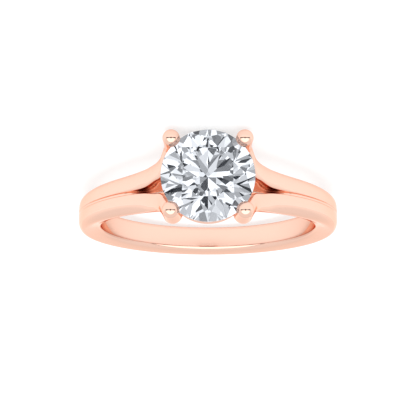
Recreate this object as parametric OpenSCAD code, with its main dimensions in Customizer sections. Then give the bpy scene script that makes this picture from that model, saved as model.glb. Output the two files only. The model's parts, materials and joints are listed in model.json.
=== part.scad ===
// Split shank solitaire ring, lying on its side with the head lifted by its prongs.
// One solid of soldered metal and one round brilliant stone, in millimetres.
// The ring is worked out standing, X across, Y along the finger and Z toward the stone,
// with the middle of the finger bore at the origin, and is then laid on its side.

/* [Finger] */
// Inner diameter of the ring
finger_d = 16.9; // [15:0.1:20]

/* [Shank] */
// Thickness of the metal at the sides, from the bore to the outer face
shank_t = 1.86; // [1.6:0.02:2.1]
// Width of the shank at the palm
palm_w = 2.54; // [2.3:0.02:2.8]
// Angle above the side of the ring at which the strands leave the base
split_angle = 70; // [68:1:72]

/* [Stone] */
// Diameter of the stone over its girdle
stone_d = 6.4; // [6.2:0.1:6.6]
// Height of the girdle's middle above the bore
girdle_rise = 5.1; // [5:0.05:5.3]
// Thickness of the girdle
girdle_t = 0.14; // [0.08:0.02:0.24]
// Width of the table as a share of the stone's diameter
table_share = 0.57; // [0.53:0.01:0.62]
// Height of the crown as a share of the stone's diameter
crown_share = 0.15; // [0.13:0.01:0.16]
// Depth of the pavilion as a share of the stone's diameter
pavilion_share = 0.43; // [0.41:0.01:0.44]

/* [Setting] */
// Distance between the middles of two neighbouring prongs
prong_pitch = 4.98; // [4.9:0.02:5.1]
// Diameter of the ball on a prong's end
prong_d = 1.2; // [1.16:0.02:1.26]
// Diameter of a prong at its foot
foot_d = 1.28; // [1.26:0.02:1.34]
// Height of the middle of a prong's ball above the bore
ball_rise = 5.55; // [5.5:0.05:5.7]
// Height above the bore at which a strand has turned into an upright prong
foot_rise = 3.9; // [3.8:0.05:4]
// Diameter of the gallery rail's wire
rail_wire_d = 0.78; // [0.7:0.02:0.84]
// Radius of the gallery rail to the middle of its wire
rail_r = 2.6; // [2.55:0.05:2.65]
// Height of the gallery rail's wire above the bore
rail_rise = 3.45; // [3.3:0.05:3.5]
// Gap between the stone and the metal
seat_gap = 0.04; // [0.02:0.01:0.06]

/* [Hidden] */
ROSE_GOLD = [0.94, 0.71, 0.62];
CLEAR_STONE = [0.88, 0.91, 0.95];

bore_r = finger_d / 2;
girdle_h = bore_r + girdle_rise;
ball_h = bore_r + ball_rise;
foot_h = bore_r + foot_rise;
rail_h = bore_r + rail_rise;
half_w = palm_w / 2;
prong_r = prong_d / 2;
foot_r = foot_d / 2;
prong_at = prong_pitch / 2;
// Sides of the bore, of the setting's turned shapes and of the rail's wire.
BORE_SIDES = 180;
TURNED_SIDES = 96;
WIRE_SIDES = 24;
// The shank starts this far inside the bore, which then cuts its inner face true, and the
// rounding of its inner edges starts a little above the bore.
bore_margin = 0.06 * shank_t;
edge_lift = 0.02 * shank_t;

// Sections of the shank from the palm to where the strands leave it.
// A half width is a share of half the palm's width, and a rise is a share of the shank's
// thickness above the bore.
SECTION_ANGLE = 0; // degrees above the side of the ring
INNER_HALF = 1; // half width of the inner face
WIDE_HALF = 2; // half width at the widest
WIDE_RISE = 3; // rise of the widest
CREST_HALF = 4; // distance of a strand's crest from the middle
CREST_RISE = 5; // rise of the crest
LIP_HALF = 6; // half width between the groove's lips
LIP_RISE = 7; // rise of the lips
FLOOR_HALF = 8; // half width of the groove's floor
FLOOR_RISE = 9; // rise of the groove's floor
SIDE_CURVE = 10; // how square the side is: 1 is straight, 2 an ellipse, more is squarer
SHOULDER_CURVE = 11; // how square the outline is from the side to the crest
SECTIONS = [
    [-90, 0.63, 0.93, 0.84, 0.35, 0.985, 0.12, 0.996, 0.04, 0.997, 1.1, 2.4],
    [-60, 0.63, 0.93, 0.84, 0.35, 0.985, 0.12, 0.996, 0.04, 0.997, 1.1, 2.4],
    [-30, 0.64, 0.93, 0.80, 0.35, 0.985, 0.12, 0.996, 0.04, 0.998, 1.2, 2.3],
    [0, 0.64, 0.95, 0.72, 0.39, 0.985, 0.12, 0.998, 0.04, 1.000, 1.4, 2.2],
    [10, 0.65, 0.98, 0.66, 0.43, 0.985, 0.12, 0.990, 0.04, 0.990, 1.6, 2.1],
    [20, 0.66, 1.02, 0.62, 0.49, 0.980, 0.11, 0.935, 0.04, 0.890, 1.8, 2.0],
    [32, 0.68, 1.07, 0.58, 0.54, 0.975, 0.10, 0.890, 0.05, 0.790, 2.0, 2.0],
    [44, 0.70, 1.11, 0.57, 0.58, 0.975, 0.10, 0.880, 0.06, 0.720, 2.0, 2.0],
    [52, 0.72, 1.14, 0.62, 0.62, 0.990, 0.12, 0.880, 0.08, 0.580, 2.0, 2.0],
    [59, 0.74, 1.19, 0.75, 0.68, 1.050, 0.16, 0.930, 0.12, 0.460, 1.8, 2.0],
    [65, 0.76, 1.24, 1.00, 0.78, 1.220, 0.26, 1.080, 0.19, 0.390, 1.6, 2.0],
    [72, 0.78, 1.38, 1.45, 0.98, 1.620, 0.50, 1.500, 0.30, 0.350, 1.5, 2.0],
];

// The base under the head, where it passes below the stone, in the same shares.
BRIDGE_INNER_HALF = 0.75;
BRIDGE_SIDE_HALF = 0.90;
BRIDGE_TOP_HALF = 0.75;
BRIDGE_RISE = 0.35;

// Steps of the outline and of the sweeps.
INNER_STEPS = 5;
OUTER_STEPS = 6;
CREST_STEPS = 4;
CHORD_STEPS = 4;
PALM_STEPS = 13;
SHOULDER_STEPS = 17;
BRIDGE_STEPS = 4;
STRAND_STEPS = 9;
BALL_STEPS = 5;
// The point of the inner curve at which a strand's underside leaves the base.
LEAVING_STEP = 2;

// Pulls that bend a strand's middle line from the base up into its prong, in shares of the
// shank's thickness.
STRAND_LEAVING = [-0.32, 0.06, 0.30];
FOOT_ARRIVING = [-0.02, 0.27, 0.54];

function mix(a, b, t) = a + (b - a) * t;
function smooth(t) = t * t * (3 - 2 * t);

// The slope of one column of the table at one row, taken from the rows around it.
function slope(i, column) =
    let (a = SECTIONS[max(i - 1, 0)], b = SECTIONS[min(i + 1, len(SECTIONS) - 1)])
    (b[column] - a[column]) / (b[SECTION_ANGLE] - a[SECTION_ANGLE]);

// The row of the table that an angle falls after.
function row_before(angle) =
    max([for (i = [0 : len(SECTIONS) - 2]) if (SECTIONS[i][SECTION_ANGLE] <= angle) i]);

// One column at any angle, on a smooth curve through the rows.
function value_at(angle, column) =
    let (
        i = row_before(angle),
        a = SECTIONS[i],
        b = SECTIONS[i + 1],
        span = b[SECTION_ANGLE] - a[SECTION_ANGLE],
        t = (angle - a[SECTION_ANGLE]) / span
    )
    mix(a[column], b[column], smooth(t))
        + span * t * (1 - t) * ((1 - t) * slope(i, column) - t * slope(i + 1, column));

// Half of a section as [half width, radius], from the middle of the inner face over the
// side and the crest to the middle of the groove.
function half_section(angle) =
    let (
        across = function (column) half_w * value_at(angle, column),
        radius = function (column) bore_r + shank_t * value_at(angle, column),
        inner = [across(INNER_HALF), bore_r + edge_lift],
        wide = [across(WIDE_HALF), radius(WIDE_RISE)],
        crest = [across(CREST_HALF), radius(CREST_RISE)],
        lip = [across(LIP_HALF), radius(LIP_RISE)],
        base = [across(FLOOR_HALF), radius(FLOOR_RISE)],
        side_power = 2 / value_at(angle, SIDE_CURVE),
        shoulder_power = 2 / value_at(angle, SHOULDER_CURVE)
    )
    concat(
        [[0, bore_r - bore_margin], [inner[0], bore_r - bore_margin]],
        [for (i = [0 : INNER_STEPS - 1])
            let (a = 90 * i / INNER_STEPS)
            [
                mix(inner[0], wide[0], pow(sin(a), side_power)),
                mix(wide[1], inner[1], pow(cos(a), side_power))
            ]],
        [for (i = [0 : OUTER_STEPS - 1])
            let (a = 90 * i / OUTER_STEPS)
            [
                mix(crest[0], wide[0], pow(cos(a), shoulder_power)),
                mix(wide[1], crest[1], pow(sin(a), shoulder_power))
            ]],
        [for (i = [0 : CREST_STEPS])
            let (t = i / CREST_STEPS)
            [mix(crest[0], lip[0], t), mix(crest[1], lip[1], t * t)]],
        [base, [0, base[1]]]
    );

SIDE_POINT = 2 + INNER_STEPS;
FIRST_LOBE = 2 + LEAVING_STEP;
LAST_LOBE = SIDE_POINT + OUTER_STEPS + CREST_STEPS + 1;

// A point of a section, [half width, radius], stood up at its angle.
function stood(point, angle) = [point[1] * cos(angle), point[0], point[1] * sin(angle)];

shank_angles = concat(
    [for (i = [0 : PALM_STEPS - 1]) -90 + 90 * i / PALM_STEPS],
    [for (i = [0 : SHOULDER_STEPS]) split_angle * i / SHOULDER_STEPS]
);
shank_rows = [for (a = shank_angles) [for (p = half_section(a)) stood(p, a)]];

// Where the strands leave, the section parts along a chord from the groove to the side.
leaving = half_section(split_angle);
chord = [for (i = [1 : CHORD_STEPS - 1])
    mix(leaving[LAST_LOBE], leaving[FIRST_LOBE], i / CHORD_STEPS)];
last_section = len(leaving) - 1;

// The base below the chord, which passes under the stone to the other side.
bridge_first = concat(
    [for (i = [0 : FIRST_LOBE]) leaving[i]],
    [for (i = [len(chord) - 1 : -1 : 0]) chord[i]],
    [for (i = [LAST_LOBE : last_section]) leaving[i]]
);
bridge_top_r = bore_r + BRIDGE_RISE * shank_t;
bridge_last = concat(
    [[0, bore_r - bore_margin], [half_w * BRIDGE_INNER_HALF, bore_r - bore_margin]],
    [for (i = [0 : LEAVING_STEP])
        let (t = i / LEAVING_STEP)
        [
            half_w * mix(BRIDGE_INNER_HALF, BRIDGE_SIDE_HALF, sin(90 * t)),
            mix(bore_r + edge_lift, (bore_r + bridge_top_r) / 2, t)
        ]],
    [for (i = [1 : CHORD_STEPS])
        let (t = i / CHORD_STEPS)
        [
            half_w * mix(BRIDGE_SIDE_HALF, BRIDGE_TOP_HALF, t),
            mix((bore_r + bridge_top_r) / 2, bridge_top_r, sin(90 * t))
        ]],
    [[0, bridge_top_r]]
);
bridge_rows = [for (i = [0 : BRIDGE_STEPS])
    let (t = i / BRIDGE_STEPS, angle = mix(split_angle, 90, t))
    [for (j = [0 : len(bridge_first) - 1])
        let (p = mix(bridge_first[j], bridge_last[j], smooth(t)))
        i == BRIDGE_STEPS ? [0, p[0], p[1]] : stood(p, angle)]];

// A strand above the chord, round to the middle of its own section.
lobe = concat([for (i = [FIRST_LOBE : LAST_LOBE]) leaving[i]], chord);
lobe_middle = [
    (leaving[LAST_LOBE][0] + leaving[SIDE_POINT][0]) / 2,
    (leaving[LAST_LOBE][1] + leaving[SIDE_POINT + OUTER_STEPS][1]) / 2
];
lobe_offsets = [for (p = lobe) p - lobe_middle];
lobe_turn = atan2(lobe_offsets[0][1], lobe_offsets[0][0]);
prong_offsets = [for (i = [0 : len(lobe) - 1])
    let (a = lobe_turn + 360 * i / len(lobe))
    [cos(a), sin(a)]];
strand_start = stood(lobe_middle, split_angle);
strand_end = [prong_at, prong_at, foot_h];

// The middle of a strand between the base and the foot of its prong.
function strand_at(t) =
    let (u = 1 - t)
    u * u * u * strand_start
        + 3 * u * u * t * (strand_start + shank_t * STRAND_LEAVING)
        + 3 * u * t * t * (strand_end - shank_t * FOOT_ARRIVING)
        + t * t * t * strand_end;

// A ring of points round a middle, with the section turned from its angle to level.
function ring_of(offsets, middle, angle) =
    [for (p = offsets) middle + [p[1] * cos(angle), p[0], p[1] * sin(angle)]];

strand_rows = concat(
    [[for (p = lobe) stood(p, split_angle)]],
    [for (i = [1 : STRAND_STEPS])
        let (t = i / STRAND_STEPS, unturned = (1 - t) * (1 - t) * (1 + t))
        ring_of(
            mix(foot_r * prong_offsets, lobe_offsets, unturned),
            strand_at(t),
            split_angle * unturned
        )],
    [for (i = [0 : BALL_STEPS - 1])
        let (a = 90 * i / BALL_STEPS)
        ring_of(
            prong_r * cos(a) * prong_offsets,
            [prong_at, prong_at, ball_h + prong_r * sin(a)],
            0
        )]
);
prong_top = [prong_at, prong_at, ball_h + prong_r];

// Triangles between neighbouring rows of a sheet of points.
function sheet(rows, closed) =
    let (columns = len(rows[0]))
    [for (i = [0 : len(rows) - 2])
        for (j = [0 : columns - (closed ? 1 : 2)])
            let (a = rows[i][j], b = rows[i][(j + 1) % columns], c = rows[i + 1][(j + 1) % columns])
            each [[a, b, c], [a, c, rows[i + 1][j]]]];

// Triangles that close a tube in a point.
function tip(row, top) =
    [for (j = [0 : len(row) - 1]) [row[j], row[(j + 1) % len(row)], top]];

quarter = concat(
    sheet(shank_rows, false),
    sheet(bridge_rows, false),
    sheet(strand_rows, true),
    tip(strand_rows[len(strand_rows) - 1], prong_top)
);

// A quarter of the ring mirrored across, along the finger or both.
function mirrored(triangles, sx, sy) =
    [for (t = triangles)
        let (m = [for (p = t) [sx * p[0], sy * p[1], p[2]]])
        sx * sy > 0 ? m : [m[0], m[2], m[1]]];

metal_triangles = [for (sx = [1, -1]) for (sy = [1, -1]) each mirrored(quarter, sx, sy)];

module triangle_solid(triangles) {
    polyhedron(
        points = [for (t = triangles) each t],
        faces = [for (i = [0 : len(triangles) - 1]) [3 * i, 3 * i + 1, 3 * i + 2]]
    );
}

// The stone's own points, with its girdle level and its middle at the origin.
stone_r = stone_d / 2;
table_r = stone_r * table_share;
crown_h = stone_d * crown_share;
pavilion_h = stone_d * pavilion_share;
SYMMETRY = 8;
GIRDLE_STEPS = 4;
star_share = 0.55;
lower_share = 0.77;
facet_turn = 360 / SYMMETRY;
facet_half = facet_turn / 2;

function around(r, angle, z) = [r * cos(angle), r * sin(angle), z];

// The level of a main facet at a radius halfway to its neighbour.
function main_level(r, top_r, top_z) =
    top_z * (stone_r - r * cos(facet_half)) / (stone_r - top_r);

star_r = mix(table_r * cos(facet_half), stone_r, star_share);
star_z = main_level(star_r, table_r, crown_h);
lower_r = stone_r * (1 - lower_share);
lower_z = main_level(lower_r, 0, -pavilion_h);

// The level at which the plane through a junction and two girdle points meets the girdle.
function girdle_level(junction_r, junction_z, angle) =
    let (
        chord_r = stone_r * cos(facet_half / 2),
        middle = facet_half / 2,
        reach = stone_r * cos(angle - middle) - chord_r,
        run = chord_r - junction_r * cos(middle)
    )
    -junction_z * reach / run;

girdle_top = [for (i = [0 : SYMMETRY * 2 * GIRDLE_STEPS - 1])
    let (angle = facet_half * i / GIRDLE_STEPS)
    around(stone_r, angle,
        girdle_t / 2 + girdle_level(star_r, star_z, facet_half * (i % GIRDLE_STEPS) / GIRDLE_STEPS))];
girdle_low = [for (i = [0 : SYMMETRY * 2 * GIRDLE_STEPS - 1])
    let (angle = facet_half * i / GIRDLE_STEPS)
    around(stone_r, angle,
        -girdle_t / 2 + girdle_level(lower_r, lower_z, facet_half * (i % GIRDLE_STEPS) / GIRDLE_STEPS))];

table_points = [for (i = [0 : SYMMETRY - 1])
    around(table_r, facet_turn * i, girdle_t / 2 + crown_h)];
star_points = [for (i = [0 : SYMMETRY - 1])
    around(star_r, facet_turn * i + facet_half, girdle_t / 2 + star_z)];
lower_points = [for (i = [0 : SYMMETRY - 1])
    around(lower_r, facet_turn * i + facet_half, -girdle_t / 2 + lower_z)];
culet = [0, 0, -girdle_t / 2 - pavilion_h];

// Fans from a junction over a run of girdle points.
function fan(junction, run) =
    [for (i = [0 : len(run) - 2]) [junction, run[i + 1], run[i]]];

function girdle_run(girdle, first) =
    [for (i = [0 : GIRDLE_STEPS]) girdle[(first + i + len(girdle)) % len(girdle)]];

stone_triangles = concat(
    [for (i = [1 : SYMMETRY - 2]) [table_points[0], table_points[i + 1], table_points[i]]],
    [for (i = [0 : SYMMETRY - 1])
        let (
            next = (i + 1) % SYMMETRY,
            before = (i + SYMMETRY - 1) % SYMMETRY,
            main = i * 2 * GIRDLE_STEPS
        )
        each concat(
            [[table_points[i], table_points[next], star_points[i]]],
            [[table_points[i], star_points[i], girdle_top[main]]],
            [[table_points[i], girdle_top[main], star_points[before]]],
            fan(star_points[i], girdle_run(girdle_top, main)),
            fan(star_points[i], girdle_run(girdle_top, main + GIRDLE_STEPS)),
            [[culet, girdle_low[main], lower_points[i]]],
            [[culet, lower_points[before], girdle_low[main]]],
            [for (t = fan(lower_points[i], girdle_run(girdle_low, main))) [t[0], t[2], t[1]]],
            [for (t = fan(lower_points[i], girdle_run(girdle_low, main + GIRDLE_STEPS)))
                [t[0], t[2], t[1]]]
        )],
    [for (i = [0 : len(girdle_top) - 1])
        let (next = (i + 1) % len(girdle_top))
        each [
            [girdle_top[i], girdle_top[next], girdle_low[next]],
            [girdle_top[i], girdle_low[next], girdle_low[i]]
        ]]
);

// The space that the stone takes up in the setting, with its gap all round.
module seat_space() {
    band = girdle_t / 2 + 2 * seat_gap;
    translate([0, 0, girdle_h])
        rotate_extrude($fn = TURNED_SIDES)
            polygon([
                [0, -band - pavilion_h],
                [stone_r + seat_gap, -band],
                [stone_r + seat_gap, band],
                [table_r + seat_gap, band + crown_h],
                [0, band + crown_h]
            ]);
}

// Round wire under the girdle that ties the prongs together.
module gallery_rail() {
    translate([0, 0, rail_h])
        rotate_extrude($fn = TURNED_SIDES)
            translate([rail_r, 0])
                circle(d = rail_wire_d, $fn = WIRE_SIDES);
}

// Shank, split shoulders, base under the head and four ball-tipped prongs.
module shank_and_prongs() {
    triangle_solid(metal_triangles);
}

// The ring lies on two prong feet and on the edge of the palm. The palm touches at the
// corner of its section that is lowest at about this tilt.
ABOUT_TILT = 5;
palm_section = half_section(-90);
palm_drops = [for (p = palm_section) p[0] * cos(ABOUT_TILT) + p[1] * sin(ABOUT_TILT)];
palm_corner = palm_section[search(max(palm_drops), palm_drops)[0]];
foot_reach = prong_at + foot_r * max([for (p = prong_offsets) p[0]]);
rest_tilt = atan2(foot_reach - palm_corner[0], foot_h + palm_corner[1]);

// How far the bore's middle lies above the surface and behind the middle of the whole.
bore_up = foot_reach * cos(rest_tilt) - foot_h * sin(rest_tilt);
palm_back = max([for (p = palm_section) p[1] * cos(rest_tilt) + p[0] * sin(rest_tilt)]);
balls_front = ball_h * cos(rest_tilt) + prong_at * sin(rest_tilt) + prong_r;
bore_back = (balls_front - palm_back) / 2;

// Laid on its side with the head toward -Y, and the middle of its foot at the origin.
module lying() {
    translate([0, bore_back, bore_up])
        rotate([90 - rest_tilt, 0, 0])
            children();
}

module shank_and_setting() {
    color(ROSE_GOLD)
        lying()
            difference() {
                union() {
                    shank_and_prongs();
                    gallery_rail();
                }
                rotate([90, 0, 0])
                    cylinder(r = bore_r, h = 4 * palm_w, center = true, $fn = BORE_SIDES);
                seat_space();
            }
}

module stone() {
    color(CLEAR_STONE)
        lying()
            translate([0, 0, girdle_h])
                triangle_solid(stone_triangles);
}

shank_and_setting();
stone();
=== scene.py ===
"""Looks of a solitaire ring with a split shank: polished rose gold, a round brilliant and a pale studio.

The ring is modelled standing, in millimetres: X across, Y along the finger and Z toward the stone, with the
middle of the finger bore at the origin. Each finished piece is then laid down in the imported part's frame.
"""

import json
import logging
import math
from dataclasses import dataclass, fields
from enum import Enum

import bmesh
import bpy
from mathutils import Matrix, Vector


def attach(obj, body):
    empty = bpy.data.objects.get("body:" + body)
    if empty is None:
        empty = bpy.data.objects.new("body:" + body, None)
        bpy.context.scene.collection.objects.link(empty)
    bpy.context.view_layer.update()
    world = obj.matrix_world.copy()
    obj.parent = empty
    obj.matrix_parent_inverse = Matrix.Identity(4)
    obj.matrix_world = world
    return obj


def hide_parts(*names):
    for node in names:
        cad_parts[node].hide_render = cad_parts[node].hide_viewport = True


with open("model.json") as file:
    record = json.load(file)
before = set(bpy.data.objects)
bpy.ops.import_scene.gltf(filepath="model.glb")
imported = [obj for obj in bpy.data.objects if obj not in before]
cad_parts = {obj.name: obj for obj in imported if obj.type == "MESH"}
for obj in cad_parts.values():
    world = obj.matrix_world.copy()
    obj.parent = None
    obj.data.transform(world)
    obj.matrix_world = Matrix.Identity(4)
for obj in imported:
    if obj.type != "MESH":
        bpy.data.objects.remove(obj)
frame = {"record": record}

Colour = tuple[float, float, float, float]
Outline = list[tuple[float, float]]
Socket = bpy.types.NodeSocket

LOG = logging.getLogger("ring")
# Name of the attribute that holds the shade painted into the cast's colour.
BODY = "root"
PAINTED_SHADE = "recess"
MM = 0.001
WELD = 1e-4
IMAGE_SIZE = 416
WHITE: Colour = (1.0, 1.0, 1.0, 1.0)


class CadNode(Enum):
    """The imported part's nodes that pieces stand for."""

    METAL = "shank_and_setting"
    STONE = "stone"


class Slot(Enum):
    """The record's material slots."""

    ROSE_GOLD = "rose_gold"
    CLEAR_STONE = "clear_stone"


class Look(Enum):
    """How the picture turns light into colours."""

    TRANSFORM = "Standard"
    CONTRAST = "None"


def mix(a: float, b: float, t: float) -> float:
    """Returns the value a share t of the way from a to b."""
    return a + (b - a) * t


def smooth(t: float) -> float:
    """Returns t eased at both ends."""
    return t * t * (3 - 2 * t)


def ramp(t: float) -> float:
    """Returns an even step from 0 to 1 that stays at its ends beyond them."""
    return smooth(min(max(t, 0.0), 1.0))


def hump(t: float) -> float:
    """Returns a rise that is 0 at both ends and 1 a third of the way along."""
    return 27 / 4 * t * (1 - t) ** 2


def sine(degrees: float) -> float:
    """Returns the sine of an angle in degrees."""
    return math.sin(math.radians(degrees))


def cosine(degrees: float) -> float:
    """Returns the cosine of an angle in degrees."""
    return math.cos(math.radians(degrees))


def ring_round(middle: Vector, shape: list[Vector], angle: float) -> list[Vector]:
    """Returns a ring of points round a middle, turned up from level by an angle in degrees."""
    return [middle + Vector((p.y * cosine(angle), p.x, p.y * sine(angle))) for p in shape]


@dataclass(frozen=True)
class Lying:
    """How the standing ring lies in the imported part's frame, read from its finger bore."""

    middle: Vector
    along: Vector

    @classmethod
    def from_record(cls, record: dict) -> "Lying":
        """Reads the bore's middle and axis.

        Args:
            record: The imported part's record.

        Returns:
            The place and lean of the ring.
        """
        bore = next(m for m in record["mounts"] if m["name"] == "finger_bore")
        return cls(Vector(bore["pos_m"]), Vector(bore["axis"]).normalized())

    @property
    def toward_stone(self) -> Vector:
        """The direction from the palm to the stone."""
        return Vector((1, 0, 0)).cross(self.along)

    def matrix(self) -> Matrix:
        """Returns the transform from the standing ring in millimetres to the lying one in metres."""
        turn = Matrix((Vector((1, 0, 0)), self.along, self.toward_stone)).transposed().to_4x4()
        return Matrix.Translation(self.middle) @ turn @ Matrix.Scale(MM, 4)


@dataclass(frozen=True)
class Section:
    """One section of the shank.

    Half widths are shares of half the palm's width. Rises are shares of the shank's thickness above the
    bore, and the edge is the radius of the rounding beside the finger, as such a share too. A shoulder curve
    of 1 is straight and 2 an ellipse.
    """

    angle: float
    inner_half: float
    edge: float
    wide_half: float
    wide_rise: float
    crest_half: float
    crest_rise: float
    lip_half: float
    lip_rise: float
    floor_half: float
    floor_rise: float
    shoulder_curve: float


SECTIONS = (
    Section(-90, 0.60, 0.26, 0.93, 0.84, 0.35, 0.985, 0.12, 0.996, 0.06, 0.997, 2.4),
    Section(-60, 0.60, 0.26, 0.93, 0.84, 0.35, 0.985, 0.12, 0.996, 0.06, 0.997, 2.4),
    Section(-30, 0.61, 0.25, 0.93, 0.80, 0.35, 0.985, 0.12, 0.996, 0.06, 0.998, 2.3),
    Section(0, 0.63, 0.24, 0.95, 0.72, 0.39, 0.985, 0.12, 0.998, 0.06, 1.000, 2.2),
    Section(10, 0.64, 0.24, 0.98, 0.66, 0.43, 0.985, 0.12, 0.993, 0.06, 0.985, 2.1),
    Section(20, 0.66, 0.24, 1.02, 0.62, 0.49, 0.980, 0.11, 0.970, 0.06, 0.935, 2.0),
    Section(32, 0.68, 0.24, 1.07, 0.58, 0.54, 0.975, 0.10, 0.960, 0.06, 0.900, 2.0),
    Section(44, 0.70, 0.25, 1.11, 0.57, 0.58, 0.975, 0.10, 0.960, 0.07, 0.885, 2.0),
    Section(52, 0.72, 0.26, 1.14, 0.62, 0.62, 0.985, 0.11, 0.965, 0.08, 0.870, 2.0),
    Section(56, 0.73, 0.27, 1.17, 0.68, 0.64, 1.000, 0.10, 0.975, 0.07, 0.800, 2.0),
    Section(59, 0.74, 0.28, 1.19, 0.76, 0.66, 1.025, 0.10, 0.990, 0.07, 0.560, 2.0),
    Section(65, 0.76, 0.30, 1.24, 1.00, 0.75, 1.150, 0.17, 1.090, 0.14, 0.400, 2.0),
    Section(72, 0.78, 0.34, 1.38, 1.45, 0.96, 1.570, 0.45, 1.510, 0.38, 0.370, 2.0),
)


def section_at(angle: float) -> Section:
    """Works out a section between the rows of the table.

    Args:
        angle: Degrees above the side of the ring.

    Returns:
        The section, on a smooth curve through the rows.
    """
    last = len(SECTIONS) - 1
    i = max(k for k in range(last) if SECTIONS[k].angle <= angle)
    a, b = SECTIONS[i], SECTIONS[i + 1]
    before, after = SECTIONS[max(i - 1, 0)], SECTIONS[min(i + 2, last)]
    span = b.angle - a.angle
    t = (angle - a.angle) / span
    values = {"angle": angle}
    for column in fields(Section)[1:]:
        here, there = getattr(a, column.name), getattr(b, column.name)
        leave = (there - getattr(before, column.name)) / (b.angle - before.angle)
        arrive = (getattr(after, column.name) - here) / (after.angle - a.angle)
        ease = span * t * (1 - t) * ((1 - t) * leave - t * arrive)
        values[column.name] = mix(here, there, smooth(t)) + ease
    return Section(**values)


class Bench:
    """Modelling steps that several pieces share."""

    @staticmethod
    def clear() -> None:
        """Goes back to object mode and deselects everything."""
        if bpy.context.mode != "OBJECT":
            bpy.ops.object.mode_set(mode="OBJECT")
        bpy.ops.object.select_all(action="DESELECT")

    @staticmethod
    def take(piece: bpy.types.Object) -> None:
        """Selects one piece alone and makes it the active one.

        Args:
            piece: The object to work on.
        """
        Bench.clear()
        piece.select_set(True)
        bpy.context.view_layer.objects.active = piece

    @staticmethod
    def start(name: str) -> bpy.types.Object:
        """Names the primitive that was just added and opens it in edit mode with nothing selected.

        Args:
            name: The piece's name.

        Returns:
            The new object.
        """
        piece = bpy.context.active_object
        piece.name = name
        piece.data.name = name
        bpy.ops.object.transform_apply(location=True, rotation=True, scale=True)
        bpy.ops.object.mode_set(mode="EDIT")
        bpy.ops.mesh.select_mode(type="VERT")
        bpy.ops.mesh.select_all(action="DESELECT")
        return piece

    @staticmethod
    def edit_mesh(piece: bpy.types.Object) -> bmesh.types.BMesh:
        """Opens the mesh that is being edited.

        Args:
            piece: The object in edit mode.

        Returns:
            Its mesh, with vertices that can be looked up.
        """
        mesh = bmesh.from_edit_mesh(piece.data)
        mesh.verts.ensure_lookup_table()
        return mesh

    @staticmethod
    def select(piece: bpy.types.Object, indices: list[int]) -> bmesh.types.BMesh:
        """Selects vertices of the mesh that is being edited, and the edges between them.

        Args:
            piece: The object in edit mode.
            indices: The vertices to select.

        Returns:
            The edit mesh.
        """
        bpy.ops.mesh.select_mode(type="VERT")
        bpy.ops.mesh.select_all(action="DESELECT")
        mesh = Bench.edit_mesh(piece)
        for index in indices:
            mesh.verts[index].select = True
        mesh.select_flush(True)
        bmesh.update_edit_mesh(piece.data)
        return mesh

    @staticmethod
    def select_level(piece: bpy.types.Object, level: float) -> None:
        """Selects the vertices at one level of the piece that is being edited.

        Args:
            piece: The object in edit mode.
            level: Their height.
        """
        mesh = Bench.edit_mesh(piece)
        Bench.select(piece, [v.index for v in mesh.verts if abs(v.co.z - level) < WELD])

    @staticmethod
    def select_edges(piece: bpy.types.Object, row: list[int], closed: bool) -> bmesh.types.BMesh:
        """Selects the edges along a row of vertices.

        Args:
            piece: The object in edit mode.
            row: The vertices, in order.
            closed: Whether the last vertex joins the first.

        Returns:
            The edit mesh.
        """
        bpy.ops.mesh.select_mode(type="EDGE")
        bpy.ops.mesh.select_all(action="DESELECT")
        mesh = Bench.edit_mesh(piece)
        following = row[1:] + row[:1] if closed else row[1:]
        for a, b in zip(row, following):
            mesh.edges.get((mesh.verts[a], mesh.verts[b])).select_set(True)
        bmesh.update_edit_mesh(piece.data)
        return mesh

    @staticmethod
    def pull(piece: bpy.types.Object, row: list[int], closed: bool, targets: list[Vector]) -> list[int]:
        """Extrudes a row of vertices and moves each new one to its place.

        Args:
            piece: The object in edit mode.
            row: The vertices to extrude, in order.
            closed: Whether the last vertex joins the first.
            targets: Where each new vertex goes.

        Returns:
            The new vertices, in the same order.
        """
        Bench.select_edges(piece, row, closed)
        bpy.ops.mesh.extrude_edges_move()
        mesh = Bench.edit_mesh(piece)
        grown = []
        for index, target in zip(row, targets):
            old = mesh.verts[index]
            rungs = [e for e in old.link_edges if e.other_vert(old).select and e.calc_length() == 0]
            new = rungs[0].other_vert(old)
            new.co = target
            grown.append(new.index)
        bmesh.update_edit_mesh(piece.data)
        return grown

    @staticmethod
    def face_outward() -> None:
        """Points all faces of the mesh that is being edited outward."""
        bpy.ops.mesh.select_all(action="SELECT")
        bpy.ops.mesh.normals_make_consistent(inside=False)

    @staticmethod
    def apply(piece: bpy.types.Object, kind: str, **settings: object) -> None:
        """Adds one modifier and applies it.

        Args:
            piece: The object to change.
            kind: The modifier's type.
            settings: The modifier's settings.
        """
        if bpy.context.mode != "OBJECT":
            bpy.ops.object.mode_set(mode="OBJECT")
        bpy.context.view_layer.objects.active = piece
        modifier = piece.modifiers.new(kind.title(), kind)
        for key, value in settings.items():
            setattr(modifier, key, value)
        bpy.ops.object.modifier_apply(modifier=modifier.name)

    @staticmethod
    def smooth_faces(piece: bpy.types.Object, angle: float) -> None:
        """Points all faces outward and shades them smooth up to an angle between them.

        Args:
            piece: The object to shade.
            angle: Degrees between faces past which an edge stays sharp.
        """
        Bench.take(piece)
        bpy.ops.object.mode_set(mode="EDIT")
        Bench.face_outward()
        bpy.ops.object.mode_set(mode="OBJECT")
        bpy.ops.object.shade_smooth_by_angle(angle=math.radians(angle))

    @staticmethod
    def lay_down(piece: bpy.types.Object, lying: Lying) -> None:
        """Moves a finished piece from the standing ring to its place, with its object at the origin.

        Args:
            piece: The finished object.
            lying: How the ring lies.
        """
        Bench.take(piece)
        piece.matrix_world = lying.matrix() @ piece.matrix_world
        bpy.ops.object.transform_apply(location=True, rotation=True, scale=True)


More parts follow.
